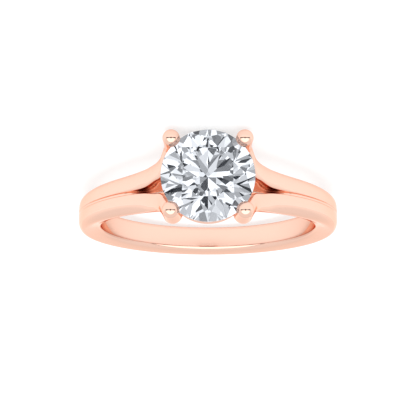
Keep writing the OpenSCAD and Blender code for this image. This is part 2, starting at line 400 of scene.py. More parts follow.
@dataclass
class RingPiece:
    """What each piece of the ring has: a name, the node that it takes, a slot, and how it is shaded."""

    name: str = "piece"
    node: CadNode = CadNode.METAL
    slot: Slot = Slot.ROSE_GOLD
    smooth_angle: float = 60.0

    def build(self) -> bpy.types.Object:
        """Models the piece, still standing."""
        raise NotImplementedError

    def dress(self, piece: bpy.types.Object, finish: bpy.types.Material) -> None:
        """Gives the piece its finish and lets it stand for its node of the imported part.

        Light that leaves the stone passes the metal, so that the stone stays clear.

        Args:
            piece: The finished piece, in place.
            finish: Its material.
        """
        piece.data.materials.clear()
        piece.data.materials.append(finish)
        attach(piece, BODY)
        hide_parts(self.node.value)
        piece.visible_transmission = self.node is CadNode.STONE

    def make(self, lying: Lying, finish: bpy.types.Material) -> bpy.types.Object:
        """Models the piece, lays it down and dresses it.

        Args:
            lying: How the ring lies.
            finish: The piece's material.

        Returns:
            The finished piece.
        """
        piece = self.build()
        Bench.smooth_faces(piece, self.smooth_angle)
        Bench.lay_down(piece, lying)
        self.dress(piece, finish)
        return piece


@dataclass
class Brilliant(RingPiece):
    """The round stone, cut facet by facet from a plain cylinder."""

    name: str = "brilliant"
    node: CadNode = CadNode.STONE
    slot: Slot = Slot.CLEAR_STONE
    smooth_angle: float = 2.0
    diameter: float = 6.4
    girdle_h: float = 13.55
    girdle_t: float = 0.14
    table_share: float = 0.57
    crown_share: float = 0.15
    pavilion_share: float = 0.43
    star_share: float = 0.55
    lower_share: float = 0.77
    symmetry: int = 8
    turn: float = 22.5
    girdle_sides: int = 128
    facet_weld: float = 1e-5

    def __post_init__(self) -> None:
        """Works out where the facets meet: radii, and levels above the middle of the girdle."""
        self.radius = self.diameter / 2
        self.step = 360 / self.symmetry
        self.edge = self.girdle_t / 2
        self.crown_h = self.diameter * self.crown_share
        self.depth = self.diameter * self.pavilion_share
        self.table_r = self.radius * self.table_share
        self.star_r = mix(self.table_r * cosine(self.step / 2), self.radius, self.star_share)
        self.lower_r = self.radius * (1 - self.lower_share)
        crown_way = (self.radius - self.star_r * cosine(self.step / 2)) / (self.radius - self.table_r)
        pavilion_way = (self.radius - self.lower_r * cosine(self.step / 2)) / self.radius
        self.star_z = self.edge + self.crown_h * crown_way
        self.lower_z = -self.edge - self.depth * pavilion_way

    def point(self, radius: float, angle: float, level: float) -> Vector:
        """Returns a point of the stone at a radius, an angle and a level above the girdle."""
        return Vector((radius * cosine(angle), radius * sine(angle), self.girdle_h + level))

    def cut(self, junctions: tuple[Vector, Vector, Vector], facing: float) -> None:
        """Grinds one facet: all that is outside the plane through three points is cut away and closed.

        Args:
            junctions: Three points of the facet.
            facing: The angle that the facet looks toward.
        """
        a, b, c = junctions
        normal = (b - a).cross(c - a).normalized()
        if normal.dot(Vector((cosine(facing), sine(facing), 0))) < 0:
            normal = -normal
        bpy.ops.mesh.select_all(action="SELECT")
        bpy.ops.mesh.bisect(
            plane_co=a, plane_no=normal, use_fill=True, clear_outer=True, threshold=self.facet_weld
        )

    def cut_crown(self, main: float) -> None:
        """Grinds a main facet of the crown, and the star and the two upper halves that follow it.

        Args:
            main: The angle of the main facet.
        """
        half, following = main + self.step / 2, main + self.step
        table = self.point(self.table_r, main, self.edge + self.crown_h)
        next_table = self.point(self.table_r, following, self.edge + self.crown_h)
        star = self.point(self.star_r, half, self.star_z)
        last_star = self.point(self.star_r, half - self.step, self.star_z)
        rim, middle_rim, next_rim = (self.point(self.radius, a, self.edge) for a in (main, half, following))
        self.cut((table, star, last_star), main)
        self.cut((table, next_table, star), half)
        self.cut((star, rim, middle_rim), half)
        self.cut((star, middle_rim, next_rim), half)

    def cut_pavilion(self, main: float) -> None:
        """Grinds a main facet of the pavilion, and the two lower halves that follow it.

        Args:
            main: The angle of the main facet.
        """
        half, following = main + self.step / 2, main + self.step
        culet = self.point(0, 0, -self.edge - self.depth)
        low = self.point(self.lower_r, half, self.lower_z)
        last_low = self.point(self.lower_r, half - self.step, self.lower_z)
        rim, middle_rim, next_rim = (self.point(self.radius, a, -self.edge) for a in (main, half, following))
        self.cut((culet, low, last_low), main)
        self.cut((low, rim, middle_rim), half)
        self.cut((low, middle_rim, next_rim), half)

    def build(self) -> bpy.types.Object:
        """Cuts the table and then the facets, all the way round.

        Returns:
            The stone, still standing.
        """
        Bench.clear()
        bpy.ops.mesh.primitive_cylinder_add(
            vertices=self.girdle_sides,
            radius=self.radius,
            depth=2 * (self.depth + self.girdle_t),
            location=(0, 0, self.girdle_h),
        )
        piece = Bench.start(self.name)
        top = self.girdle_h + self.edge + self.crown_h
        bpy.ops.mesh.select_all(action="SELECT")
        bpy.ops.mesh.bisect(plane_co=(0, 0, top), plane_no=(0, 0, 1), use_fill=True, clear_outer=True)
        for i in range(self.symmetry):
            self.cut_crown(self.turn + self.step * i)
            self.cut_pavilion(self.turn + self.step * i)
        bpy.ops.object.mode_set(mode="OBJECT")
        return piece


@dataclass(frozen=True)
class Seat:
    """The stone's place in the prongs, with a gap all round."""

    stone: Brilliant
    gap: float = 0.04
    sides: int = 96
    tip_r: float = 0.3

    def draw(self, rise: float, share: float) -> None:
        """Extrudes the selected rim, narrows it and closes it.

        Args:
            rise: How far up it goes.
            share: What is left of its width.
        """
        bpy.ops.mesh.extrude_region_move(TRANSFORM_OT_translate={"value": (0, 0, rise)})
        bpy.ops.transform.resize(value=(share, share, 1), center_override=(0, 0, self.stone.girdle_h))
        bpy.ops.mesh.edge_face_add()

    def cutter(self) -> bpy.types.Object:
        """Models the stone's plain form, larger by the gap.

        Returns:
            The cutter.
        """
        rim = self.stone.radius + self.gap
        table = self.stone.table_r + self.gap
        band = self.stone.edge + 2 * self.gap
        bottom = self.stone.girdle_h - band
        tip = self.tip_r / rim
        Bench.clear()
        bpy.ops.mesh.primitive_circle_add(vertices=self.sides, radius=rim, location=(0, 0, bottom))
        cutter = Bench.start("seat_cutter")
        bpy.ops.mesh.select_all(action="SELECT")
        bpy.ops.mesh.extrude_region_move(TRANSFORM_OT_translate={"value": (0, 0, 2 * band)})
        self.draw(self.stone.crown_h, table / rim)
        Bench.select_level(cutter, bottom)
        self.draw(-self.stone.depth * (1 - tip), tip)
        Bench.face_outward()
        bpy.ops.object.mode_set(mode="OBJECT")
        return cutter

    def cut(self, piece: bpy.types.Object) -> None:
        """Cuts the stone's place out of the prongs.

        Args:
            piece: The cast.
        """
        cutter = self.cutter()
        Bench.take(piece)
        bpy.ops.object.mode_set(mode="EDIT")
        Bench.face_outward()
        Bench.apply(piece, "BOOLEAN", operation="DIFFERENCE", solver="EXACT", object=cutter)
        bpy.data.objects.remove(cutter)


@dataclass(frozen=True)
class Prong:
    """One prong, which leans out a little from its foot on the strand to the ball at its tip."""

    pitch: float = 4.98
    ball_r: float = 0.585
    ball_h: float = 14.0
    ball_steps: int = 5
    foot_r: float = 0.64
    foot_h: float = 12.35
    foot_lean: float = 0.10
    stem_shares: tuple[float, ...] = (0.35, 0.7)

    @property
    def ball(self) -> Vector:
        """The middle of the ball."""
        return Vector((self.pitch / 2, self.pitch / 2, self.ball_h))

    @property
    def foot(self) -> Vector:
        """The middle of the foot."""
        return Vector((self.pitch / 2 - self.foot_lean, self.pitch / 2, self.foot_h))

    def rings(self, circle: list[Vector]) -> list[list[Vector]]:
        """Works out the rings from above the foot to below the ball's top.

        Args:
            circle: The points of a ring with a radius of 1.

        Returns:
            Rings of points.
        """
        rings = []
        for share in self.stem_shares:
            radius = mix(self.foot_r, self.ball_r, share)
            rings.append(ring_round(self.foot.lerp(self.ball, share), [radius * c for c in circle], 0))
        for i in range(self.ball_steps):
            a = 90 * i / self.ball_steps
            middle = self.ball + Vector((0, 0, self.ball_r * sine(a)))
            rings.append(ring_round(middle, [self.ball_r * cosine(a) * c for c in circle], 0))
        return rings


@dataclass
class Shank(RingPiece):
    """The band, its split shoulders, the base under the head and the four prongs, as one cast piece."""

    name: str = "shank"
    prong: Prong = Prong()
    bore_r: float = 8.45
    thickness: float = 1.86
    palm_w: float = 2.54
    split_angle: float = 70.0
    edge_from: float = 20.0
    edge_to: float = 78.0
    cheek_out: float = 0.6
    cheek_up: float = 0.5
    floor_share: float = 0.7
    bridge_inner_half: float = 0.75
    bridge_side_half: float = 0.90
    bridge_top_half: float = 0.75
    bridge_rise: float = 0.35
    flat_shares: tuple[float, ...] = (0.0, 0.5, 0.9)
    side_steps: int = 5
    outer_steps: int = 6
    crest_steps: int = 4
    wall_shares: tuple[float, ...] = (0.25, 0.75)
    chord_steps: int = 5
    palm_steps: int = 14
    shoulder_stops: tuple[float, ...] = (
        0, 6, 12, 18, 24, 30, 36, 42, 47, 51, 54, 56, 58, 60, 62, 64, 66, 68, 70,
    )
    bridge_steps: int = 4
    strand_steps: int = 10
    leaving_step: int = 2
    strand_leaving: Vector = Vector((-0.50, -0.05, 0.50))
    flare: Vector = Vector((0.12, 0.22))
    foot_arriving: Vector = Vector((-0.02, 0.13, 0.50))
    levels: int = 2

    def __post_init__(self) -> None:
        """Works out the marked points of a section."""
        self.side_point = len(self.flat_shares) + self.side_steps
        self.first_lobe = len(self.flat_shares) + self.leaving_step
        self.last_lobe = self.side_point + self.outer_steps + self.crest_steps + len(self.wall_shares)

    def half_section(self, angle: float) -> Outline:
        """Works out half a section, from the middle of the inner face over the crest to the groove.

        Args:
            angle: Degrees above the side of the ring.

        Returns:
            Points as half width and radius, in millimetres.
        """
        row = section_at(angle)
        half = self.palm_w / 2

        def place(half_width: float, rise: float) -> tuple[float, float]:
            """Returns a point of the table in millimetres."""
            return half * half_width, self.bore_r + self.thickness * rise

        inner = half * row.inner_half
        wide = place(row.wide_half, row.wide_rise)
        crest = place(row.crest_half, row.crest_rise)
        lip = place(row.lip_half, row.lip_rise)
        floor = place(row.floor_half, row.floor_rise)
        points = [(inner * share, self.bore_r) for share in self.flat_shares]
        rounding = self.thickness * row.edge
        for i in range(self.side_steps - 1):
            a = mix(self.edge_from, self.edge_to, i / (self.side_steps - 2))
            out, up = sine(a) - sine(self.edge_from), cosine(self.edge_from) - cosine(a)
            points.append((inner + rounding * out, self.bore_r + rounding * up))
        out, up = points[-1]
        points.append((mix(out, wide[0], self.cheek_out), mix(up, wide[1], self.cheek_up)))
        for i in range(self.outer_steps):
            a = 90 * i / self.outer_steps
            out = cosine(a) ** (2 / row.shoulder_curve)
            up = sine(a) ** (2 / row.shoulder_curve)
            points.append((mix(crest[0], wide[0], out), mix(wide[1], crest[1], up)))
        for i in range(self.crest_steps + 1):
            t = i / self.crest_steps
            points.append((mix(crest[0], lip[0], t), mix(crest[1], lip[1], t * t)))
        for t in self.wall_shares:
            points.append((mix(lip[0], floor[0], t), mix(lip[1], floor[1], t)))
        return points + [(floor[0] * self.floor_share, floor[1]), (0.0, floor[1])]

    @staticmethod
    def stood(point: tuple[float, float], angle: float) -> Vector:
        """Returns a point of a section stood up at its angle."""
        return Vector((point[1] * cosine(angle), point[0], point[1] * sine(angle)))

    def strand_at(self, t: float, start: Vector) -> Vector:
        """Follows a strand's middle line from the base up to the foot of its prong.

        Args:
            t: The share of the way.
            start: The middle of the strand where it leaves the base.

        Returns:
            The point on the curve.
        """
        end = self.prong.foot
        first = start + self.thickness * self.strand_leaving
        second = end - self.thickness * self.foot_arriving
        u = 1 - t
        return u**3 * start + 3 * u * u * t * first + 3 * u * t * t * second + t**3 * end

    def flared(self, point: Vector, lift: float) -> Vector:
        """Returns a point of a strand's ring moved out by the flare, most of all on its outer side."""
        outer = min(max(point.x / self.prong.foot_r + 1, 0) / 2, 1)
        return point + self.flare * lift * outer**2

    def strand_rows(self, leaving: Outline, chord: Outline) -> list[list[Vector]]:
        """Works out the rings of one strand and its prong.

        Args:
            leaving: The section that the strand leaves.
            chord: The points across it, from the groove to the side.

        Returns:
            Rings of points, from the first above the base to the last below the ball's top.
        """
        lobe = [Vector(p) for p in leaving[self.first_lobe : self.last_lobe + 1] + chord]
        middle = Vector((
            (leaving[self.last_lobe][0] + leaving[self.side_point][0]) / 2,
            (leaving[self.last_lobe][1] + leaving[self.side_point + self.outer_steps][1]) / 2,
        ))
        offsets = [p - middle for p in lobe]
        turn = math.degrees(math.atan2(offsets[0].y, offsets[0].x))
        turns = [turn + 360 * i / len(lobe) for i in range(len(lobe))]
        circle = [Vector((cosine(a), sine(a))) for a in turns]
        foot = [self.prong.foot_r * c for c in circle]
        start = self.stood(middle, self.split_angle)
        rows = []
        for i in range(1, self.strand_steps + 1):
            t = i / self.strand_steps
            unturned = 1 - smooth(t)
            shape = [self.flared(f + (o - f) * unturned, hump(t)) for f, o in zip(foot, offsets)]
            rows.append(ring_round(self.strand_at(t, start), shape, self.split_angle * unturned))
        return rows + self.prong.rings(circle)

    def bridge_rows(self, first: Outline) -> list[list[Vector]]:
        """Works out the rows of the base from the split to the middle of the head.

        Args:
            first: The outline of the base at the split.

        Returns:
            Rows of points on the way to the middle plane.
        """
        half = self.palm_w / 2
        top_r = self.bore_r + self.bridge_rise * self.thickness
        side_r = (self.bore_r + top_r) / 2
        last = [(half * self.bridge_inner_half * share, self.bore_r) for share in self.flat_shares]
        for i in range(self.leaving_step + 1):
            t = i / self.leaving_step
            out = mix(self.bridge_inner_half, self.bridge_side_half, sine(90 * t))
            last.append((half * out, mix(self.bore_r, side_r, t)))
        for i in range(1, self.chord_steps + 1):
            t = i / self.chord_steps
            out = mix(self.bridge_side_half, self.bridge_top_half, t)
            last.append((half * out, mix(side_r, top_r, sine(90 * t))))
        last += [(half * self.bridge_top_half / 2, top_r), (0.0, top_r)]
        rows = []
        for i in range(1, self.bridge_steps + 1):
            t = i / self.bridge_steps
            angle = mix(self.split_angle, 90, t)
            row = [(mix(a[0], b[0], smooth(t)), mix(a[1], b[1], smooth(t))) for a, b in zip(first, last)]
            rows.append([self.stood(p, angle) for p in row])
        for point in rows[-1]:
            point.x = 0.0
        return rows

    def start_outline(self) -> tuple[bpy.types.Object, list[int]]:
        """Starts the cast from a circle, cut in half and drawn to the palm's section.

        Returns:
            The object in edit mode and the outline's vertices in order.
        """
        targets = [self.stood(p, SECTIONS[0].angle) for p in self.half_section(SECTIONS[0].angle)]
        sides = 2 * len(targets) - 2
        Bench.clear()
        bpy.ops.mesh.primitive_circle_add(vertices=sides, radius=self.palm_w, rotation=(0, math.pi / 2, 0))
        piece = Bench.start(self.name)
        bpy.ops.mesh.select_all(action="SELECT")
        bpy.ops.mesh.bisect(plane_co=(0, 0, 0), plane_no=(0, -1, 0), clear_outer=True, threshold=WELD)
        bpy.ops.object.mode_set(mode="OBJECT")
        bpy.ops.object.mode_set(mode="EDIT")
        mesh = bmesh.from_edit_mesh(piece.data)
        order = sorted(mesh.verts, key=lambda v: -v.co.z)
        for vert, target in zip(order, targets):
            vert.co = target
        row = [v.index for v in order]
        bmesh.update_edit_mesh(piece.data)
        if len(row) != len(targets):
            raise ValueError(f"the outline has {len(row)} points and not {len(targets)}")
        return piece, row

    def join_chord(self, piece: bpy.types.Object, row: list[int]) -> list[int]:
        """Joins the groove to the side across the last section, where the strand will leave.

        Args:
            piece: The object in edit mode.
            row: The last section's vertices.

        Returns:
            The chord's inner vertices, from the groove to the side.
        """
        ends = [row[self.last_lobe], row[self.first_lobe]]
        known = len(Bench.select(piece, ends).verts)
        bpy.ops.mesh.edge_face_add()
        bpy.ops.mesh.subdivide(number_cuts=self.chord_steps - 1)
        mesh = Bench.edit_mesh(piece)
        start = mesh.verts[ends[0]].co
        inner = sorted(mesh.verts[known:], key=lambda v: (v.co - start).length)
        return [v.index for v in inner]

    def close_ball(self, piece: bpy.types.Object, ring: list[int]) -> None:
        """Closes a prong's end with a small grid of faces, crowned up to the ball.

        Args:
            piece: The object in edit mode.
            ring: The last ring below the ball's top.
        """
        known = len(Bench.select_edges(piece, ring, True).verts)
        bpy.ops.mesh.fill_grid(span=len(ring) // 4)
        mesh = Bench.edit_mesh(piece)
        middle = self.prong.ball
        for vert in mesh.verts[known:]:
            flat = Vector((vert.co.x - middle.x, vert.co.y - middle.y, 0))
            rise = math.sqrt(max(self.prong.ball_r**2 - flat.length_squared, 0))
            vert.co = middle + flat + Vector((0, 0, rise))
        bmesh.update_edit_mesh(piece.data)

    def true_balls(self, piece: bpy.types.Object) -> None:
        """Rounds the end of each prong to a true ball, because subdividing shrinks it.

        Args:
            piece: The cast.
        """
        ball = self.prong.ball
        for vert in piece.data.vertices:
            if vert.co.z > ball.z:
                middle = Vector((math.copysign(ball.x, vert.co.x), math.copysign(ball.y, vert.co.y), ball.z))
                vert.co = middle + (vert.co - middle).normalized() * self.prong.ball_r
        piece.data.update()

    def build(self) -> bpy.types.Object:
        """Models a quarter of the cast by extrusion, mirrors it and rounds it.

        Returns:
            The finished cast, still standing.
        """
        piece, row = self.start_outline()
        angles = [mix(SECTIONS[0].angle, 0, i / self.palm_steps) for i in range(1, self.palm_steps)]
        for angle in angles + list(self.shoulder_stops):
            row = Bench.pull(piece, row, False, [self.stood(p, angle) for p in self.half_section(angle)])
        leaving = self.half_section(self.split_angle)
        start, end = leaving[self.last_lobe], leaving[self.first_lobe]
        shares = [i / self.chord_steps for i in range(1, self.chord_steps)]
        chord = [(mix(start[0], end[0], t), mix(start[1], end[1], t)) for t in shares]
        chord_row = self.join_chord(piece, row)
        strand = row[self.first_lobe : self.last_lobe + 1] + chord_row
        base = row[: self.first_lobe + 1] + chord_row[::-1] + row[self.last_lobe :]
        for targets in self.strand_rows(leaving, chord):
            strand = Bench.pull(piece, strand, True, targets)
        self.close_ball(piece, strand)
        outline = leaving[: self.first_lobe + 1] + chord[::-1] + leaving[self.last_lobe :]
        for targets in self.bridge_rows(outline):
            base = Bench.pull(piece, base, False, targets)
        Bench.apply(piece, "MIRROR", use_axis=(True, True, False), use_clip=True, merge_threshold=WELD)
        Bench.apply(piece, "SUBSURF", levels=self.levels, render_levels=self.levels)
        self.true_balls(piece)
        Seat(Brilliant()).cut(piece)
        # Paints shade into the cast's colour: in the groove between the strands, along the bore's near edge
        # and on the prongs' stone side.
        PaintedShade(self).mark(piece)
        return piece


@dataclass(frozen=True)
class PaintedShade:
    """Painted shade on the cast where light hardly reaches it, and a painted dark line along the bore's near
    edge, as a tone from 0 on open metal to 1 in the pit.

    The pit is where the strands part, and the corner is where the bore's near edge turns at the palm's side.
    Lengths are in millimetres, and angles in degrees above the side of the ring.
    """

    cast: Shank
    wall_fade: float = 0.85
    bore_margin: float = 0.2
    bore_fade: float = 0.3
    side_fade: float = 0.15
    widening: float = 0.03
    groove_tone: float = 0.16
    pit_angle: float = 60.5
    pit_length: float = 4.5
    edge_rise: float = 0.06
    edge_inset: float = 0.05
    edge_width: float = 0.12
    edge_tone: float = 0.16
    corner_angle: float = -12.0
    corner_length: float = 42.0
    corner_width: float = 0.34
    corner_tone: float = 0.50
    corner_wall_tone: float = 0.13
    undercut_inset: float = 0.15
    undercut_fade: float = 0.35
    undercut_tone: float = 0.18

    def groove(self, at: Vector, angle: float) -> float:
        """Works out the shade painted between the strands, which is darkest in the pit.

        Args:
            at: A point of the standing cast.
            angle: The point's angle.

        Returns:
            The tone.
        """
        row = section_at(min(angle, self.cast.split_angle))
        radius = math.hypot(at.x, at.z)
        lip = self.cast.bore_r + self.cast.thickness * row.lip_rise
        reach = self.cast.palm_w / 2 * row.lip_half + self.widening * max(angle - self.cast.split_angle, 0)
        off_bore = ramp((radius - self.cast.bore_r - self.bore_margin) / self.bore_fade)
        inside = ramp((reach + self.side_fade - abs(at.y)) / self.side_fade)
        pit = ramp(1 - abs(angle - self.pit_angle) / self.pit_length)
        return ramp((lip - radius) / self.wall_fade) * off_bore * inside * mix(self.groove_tone, 1.0, pit)

    def bore_edge(self, at: Vector, angle: float) -> float:
        """Works out the shade painted on the bore: a dark line along its near edge, widest at the corner,
        and a faint shade over the bore round the corner.

        Args:
            at: A point of the standing cast.
            angle: The point's angle.

        Returns:
            The tone.
        """
        row = section_at(min(angle, self.cast.split_angle))
        corner = ramp(1 - abs(angle - self.corner_angle) / self.corner_length)
        off = abs(at.y - self.cast.palm_w / 2 * row.inner_half + self.edge_inset)
        across = ramp(1 - off / mix(self.edge_width, self.corner_width, corner))
        return max(mix(self.edge_tone, self.corner_tone, corner) * across, self.corner_wall_tone * corner)

    def undercut(self, at: Vector) -> float:
        """Works out the shade painted on a prong and its ball on the side of the stone.

        Args:
            at: A point of the standing cast.

        Returns:
            The tone.
        """
        ball = self.cast.prong.ball
        rim = math.hypot(ball.x, ball.y) - self.undercut_inset
        return self.undercut_tone * ramp((rim - math.hypot(at.x, at.y)) / self.undercut_fade)

    def mark(self, piece: bpy.types.Object) -> None:
        """Writes each point's painted shade to an attribute, which the rose gold reads to darken its colour.

        Args:
            piece: The cast, still standing.
        """
        marks = piece.data.attributes.new(PAINTED_SHADE, "FLOAT", "POINT")
        for vert, mark in zip(piece.data.vertices, marks.data):
            at = vert.co
            angle = math.degrees(math.atan2(at.z, abs(at.x)))
            if at.z > self.cast.prong.foot_h:
                mark.value = self.undercut(at)
            elif math.hypot(at.x, at.z) < self.cast.bore_r + self.edge_rise:
                mark.value = self.bore_edge(at, angle)
            else:
                mark.value = self.groove(at, angle)


@dataclass
class GalleryRail(RingPiece):
    """The round wire under the girdle that ties the prongs together."""

    name: str = "gallery_rail"
    radius: float = 2.6
    wire_r: float = 0.39
    height: float = 11.9
    wire_sides: int = 20
    turns: int = 120

    def build(self) -> bpy.types.Object:
        """Spins the wire's section round the head.

        Returns:
            The rail, still standing.
        """
        Bench.clear()
        bpy.ops.mesh.primitive_circle_add(
            vertices=self.wire_sides,
            radius=self.wire_r,
            location=(self.radius, 0, self.height),
            rotation=(math.pi / 2, 0, 0),
        )
        piece = Bench.start(self.name)
        bpy.ops.mesh.select_all(action="SELECT")
        bpy.ops.mesh.spin(steps=self.turns, angle=math.tau, center=(0, 0, self.height), axis=(0, 0, 1))
        bpy.ops.mesh.select_all(action="SELECT")
        bpy.ops.mesh.remove_doubles(threshold=WELD)
        bpy.ops.object.mode_set(mode="OBJECT")
        return piece


class Graph:
    """Adds nodes to one shader tree and links them."""

    def __init__(self, tree: bpy.types.NodeTree) -> None:
        """Keeps the tree that it works on."""
        self.tree = tree

    @staticmethod
    def start_finish(name: str) -> tuple[bpy.types.Material, "Graph", bpy.types.Node]:
        """Starts a material.

        Args:
            name: The material's name.

        Returns:
            The material, its graph and its shader.
        """
        finish = bpy.data.materials.new(name)
        finish.use_nodes = True
        return finish, Graph(finish.node_tree), finish.node_tree.nodes["Principled BSDF"]

    def node(self, kind: str, **settings: object) -> bpy.types.Node:
        """Adds one node.

        Args:
            kind: Its type, without the words that all shader nodes start with.
            settings: Its settings.

        Returns:
            The node.
        """
        node = self.tree.nodes.new("ShaderNode" + kind)
        for key, value in settings.items():
            setattr(node, key, value)
        return node

    def put(self, value: object, socket: Socket) -> None:
        """Links an input to another node's output, or sets it to a plain value.

        Args:
            value: The output or the value.
            socket: The input.
        """
        if isinstance(value, Socket):
            self.tree.links.new(value, socket)
        else:
            socket.default_value = value

    def fill(self, node: bpy.types.Node, **values: object) -> bpy.types.Node:
        """Puts values on inputs of a node by name.

        Args:
            node: The node.
            values: Outputs or plain values, with an underscore for each space in an input's name.

        Returns:
            The same node.
        """
        for name, value in values.items():
            self.put(value, node.inputs[name.replace("_", " ")])
        return node

    def along(self, place: Socket, direction: Vector) -> Socket:
        """Measures how far a place lies along a direction.

        Args:
            place: The coordinates.
            direction: The direction, of length 1.

        Returns:
            The distance.
        """
        node = self.node("VectorMath", operation="DOT_PRODUCT")
        node.inputs[1].default_value = direction
        self.put(place, node.inputs[0])
        return node.outputs["Value"]

    def calc(self, kind: str, *values: object) -> Socket:
        """Works out one sum.

        Args:
            kind: The kind of sum.
            values: Outputs or plain numbers.

        Returns:
            The result.
        """
        node = self.node("Math", operation=kind)
        for value, socket in zip(values, node.inputs):
            self.put(value, socket)
        return node.outputs[0]

    def blend(self, share: object, low: object, high: object, kind: str = "FLOAT") -> Socket:
        """Goes from one value or colour to another.

        Args:
            share: How far, from 0 to 1.
            low: The value or colour at 0.
            high: The value or colour at 1.
            kind: The kind of data.

        Returns:
            The value or colour between them.
        """
        node = self.node("Mix", data_type=kind)
        low_socket, high_socket = [k for k in node.inputs if k.enabled and k.name in ("A", "B")]
        self.put(share, node.inputs[0])
        self.put(low, low_socket)
        self.put(high, high_socket)
        return next(k for k in node.outputs if k.enabled)


@dataclass(frozen=True)
class RoseGold:
    """Mirror-polished rose gold with the faint marks that polishing and wear leave, and shade painted into
    its colour where the cast is marked.
    """

    colour: Colour = (0.938, 0.624, 0.503, 1.0)
    # The colour painted in as shade in the cast's hollows, along the bore's edge and beside the stone.
    deep: Colour = (0.30, 0.115, 0.085, 1.0)
    grazing: Colour = (0.98, 0.79, 0.70, 1.0)
    roughness: float = 0.08
    swirl: float = 0.03
    haze_scale: float = 420.0
    haze_detail: float = 4.0
    mark_scale: float = 9000.0
    mark_detail: float = 2.0
    mark_stretch: tuple[float, float, float] = (1.0, 1.0, 0.15)
    mark_strength: float = 0.02
    mark_depth: float = 0.00002

    def material(self) -> bpy.types.Material:
        """Builds the finish.

        Returns:
            The material.
        """
        finish, graph, shader = Graph.start_finish("polished_rose_gold")
        place = graph.node("TexCoord").outputs["Object"]
        # Reads the shade painted on the cast, from 0 on open metal to 1 in the pit.
        recess = graph.node("Attribute", attribute_name=PAINTED_SHADE).outputs["Fac"]
        haze = graph.fill(
            graph.node("TexNoise"), Vector=place, Scale=self.haze_scale, Detail=self.haze_detail
        )
        gloss = graph.fill(
            graph.node("MapRange"),
            Value=haze.outputs["Fac"],
            To_Min=self.roughness - self.swirl,
            To_Max=self.roughness + self.swirl,
        )
        drawn = graph.fill(graph.node("Mapping"), Vector=place, Scale=self.mark_stretch)
        marks = graph.fill(
            graph.node("TexNoise"),
            Vector=drawn.outputs["Vector"],
            Scale=self.mark_scale,
            Detail=self.mark_detail,
        )
        bump = graph.fill(
            graph.node("Bump"),
            Height=marks.outputs["Fac"],
            Strength=self.mark_strength,
            Distance=self.mark_depth,
        )
        graph.fill(
            shader,
            Metallic=1.0,
            # Painted shade: the colour darkens toward a deep red-brown where the cast is marked.
            Base_Color=graph.blend(recess, self.colour, self.deep, "RGBA"),
            Specular_Tint=self.grazing,
            Roughness=gloss.outputs["Result"],
            Normal=bump.outputs["Normal"],
        )
        return finish


@dataclass(frozen=True)
class ClearStone:
    """Colourless stone that bends light strongly, with a trace of polishing lines on its facets."""

    tint: Colour = (0.96, 0.97, 0.99, 1.0)
    refraction: float = 2.417
    shine: Colour = (0.06, 0.065, 0.075, 1.0)
    line_scale: float = 6000.0
    line_roughness: float = 0.002

    def material(self) -> bpy.types.Material:
        """Builds the finish.

        Returns:
            The material.
        """
        finish, graph, shader = Graph.start_finish("brilliant_clear")
        place = graph.node("TexCoord").outputs["Object"]
        lines = graph.fill(graph.node("TexNoise"), Vector=place, Scale=self.line_scale)
        gloss = graph.fill(graph.node("MapRange"), Value=lines.outputs["Fac"], To_Max=self.line_roughness)
        graph.fill(
            shader,
            Base_Color=self.tint,
            Transmission_Weight=1.0,
            IOR=self.refraction,
            Specular_Tint=self.shine,
            Roughness=gloss.outputs["Result"],
        )
        return finish


@dataclass(frozen=True)
class PaleFloor:
    """Plain pale studio floor, which glows enough to stay pale and still takes the ring's soft shade."""

    size: float = 3.0
    white: float = 0.33
    glow: float = 0.685
    roughness: float = 0.9
    shine: float = 0.1

    def build(self) -> bpy.types.Object:
        """Lays the floor, which light that leaves the stone doesn't see.

        Returns:
            The floor.
        """
        Bench.clear()
        bpy.ops.mesh.primitive_plane_add(size=self.size)
        floor = bpy.context.active_object
        floor.name = "floor"
        finish, graph, shader = Graph.start_finish("pale_floor")
        graph.fill(
            shader,
            Base_Color=(self.white, self.white, self.white, 1.0),
            Roughness=self.roughness,
            Specular_IOR_Level=self.shine,
            Emission_Color=WHITE,
            Emission_Strength=self.glow,
        )
        floor.data.materials.append(finish)
        floor.visible_transmission = False
        return floor


